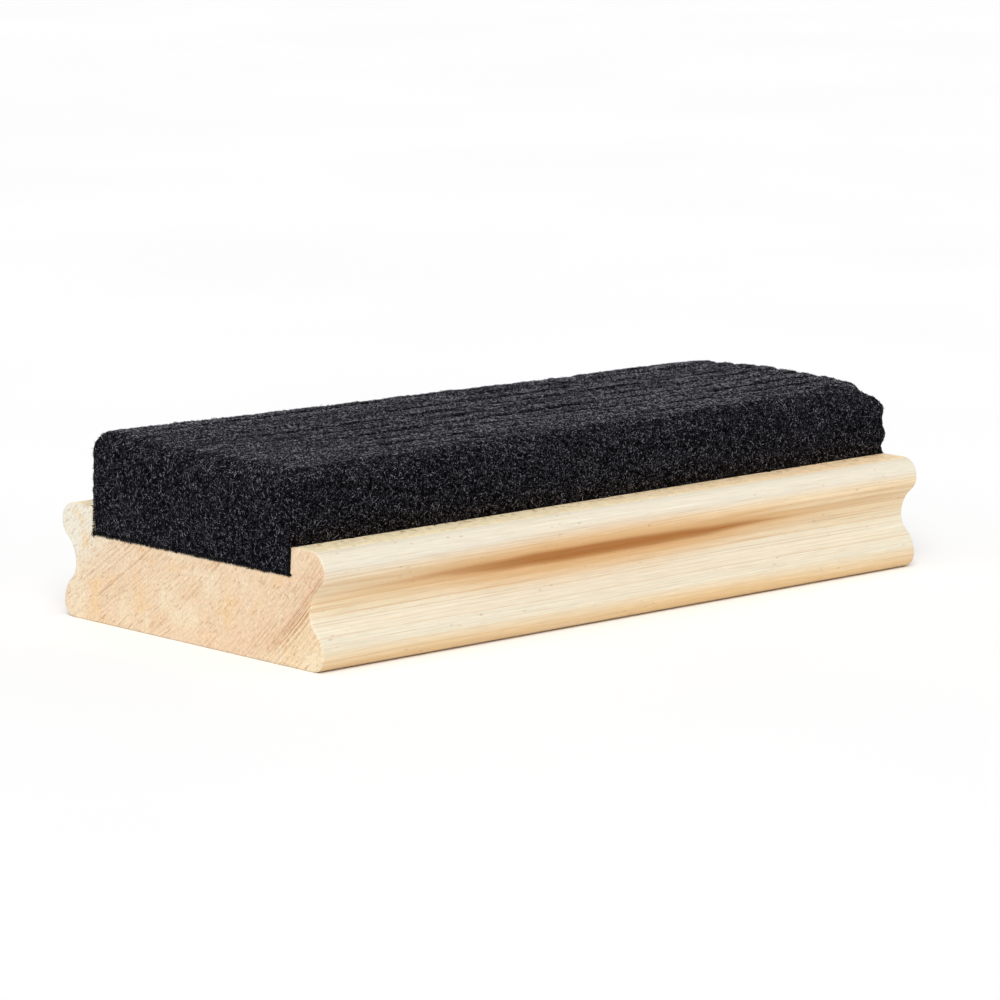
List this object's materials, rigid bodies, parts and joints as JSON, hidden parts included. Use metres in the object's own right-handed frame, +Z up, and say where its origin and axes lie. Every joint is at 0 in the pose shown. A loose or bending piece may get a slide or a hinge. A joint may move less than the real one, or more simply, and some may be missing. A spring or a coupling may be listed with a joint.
{
  "type": "chalkboard eraser",
  "caption": "Chalkboard eraser: a moulded wooden handle with finger grooves along both sides and a black felt pad of upright strips glued into its recess.",
  "frame": {"origin": "centre of the flat wooden back, which is the middle of the bottom of the bounding box; the part rests on it with its felt up", "axes": "+X along the eraser, parallel to the finger grooves; +Y across it from one side moulding to the other; +Z up, from the wooden back to the wiping face of the felt"},
  "size_m": [0.13, 0.064, 0.03],
  "materials": {
    "pine_wood": "bare planed pine, pale cream with straight grain, unvarnished",
    "black_felt": "thick pressed felt, near black, fuzzy",
    "dried_glue": "dried glue, satin, yellowish"
  },
  "bodies": {
    "root": {"handle": "pine_wood", "glue_bed": "dried_glue", "felt_strip_01": "black_felt", "felt_strip_02": "black_felt", "felt_strip_03": "black_felt", "felt_strip_04": "black_felt", "felt_strip_05": "black_felt", "felt_strip_06": "black_felt", "felt_strip_07": "black_felt", "felt_strip_08": "black_felt", "felt_strip_09": "black_felt", "felt_strip_10": "black_felt"}
  },
  "joints": []
}
